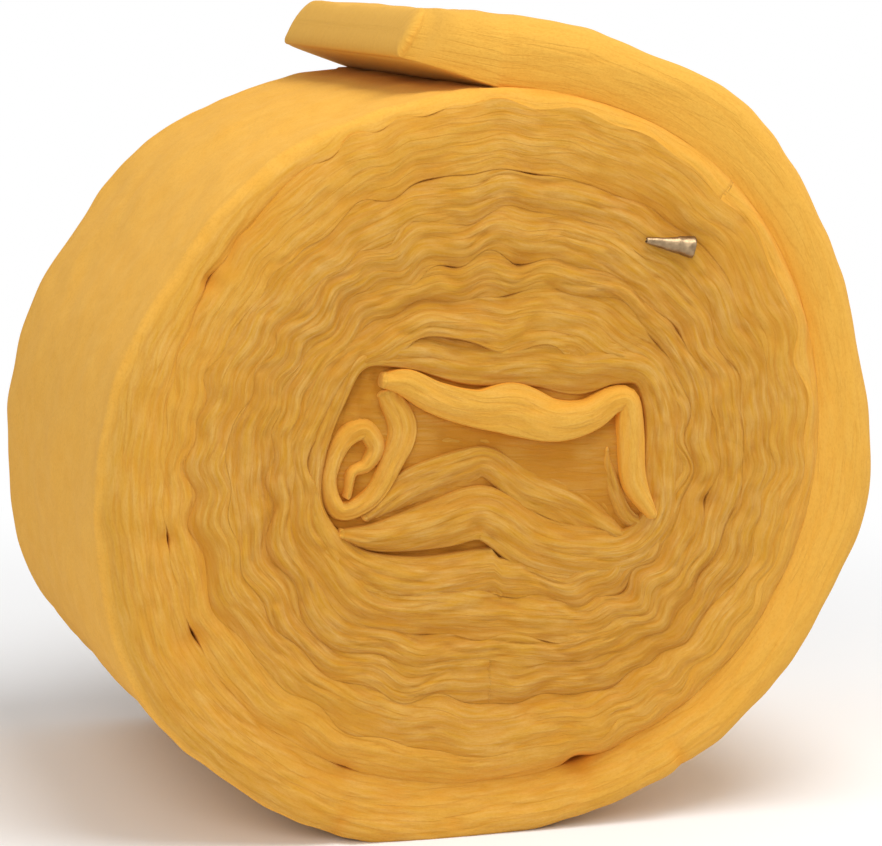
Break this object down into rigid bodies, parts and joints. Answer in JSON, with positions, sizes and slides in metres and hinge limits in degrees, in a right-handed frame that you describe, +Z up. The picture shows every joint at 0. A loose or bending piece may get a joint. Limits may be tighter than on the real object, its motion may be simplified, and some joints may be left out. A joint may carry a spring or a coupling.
{
  "type": "insulation roll",
  "caption": "Yellow glass wool blanket wound into a roll, lying on its side with its loose end lapped over the top and its core folded flat.",
  "frame": {"origin": "under the middle of the roll's box, on the surface that it lies on", "axes": "+Z up, Y along the roll's axis, X across the end that shows its turns; the front end faces -Y"},
  "size_m": [0.4902, 0.3842, 0.499],
  "materials": {
    "glass_wool": "soft matt glass wool, golden yellow, fibrous on the cut ends",
    "foil": "bright thin foil"
  },
  "bodies": {
    "root": {"blanket_roll": "glass_wool", "foil_tab": "foil"}
  },
  "joints": []
}
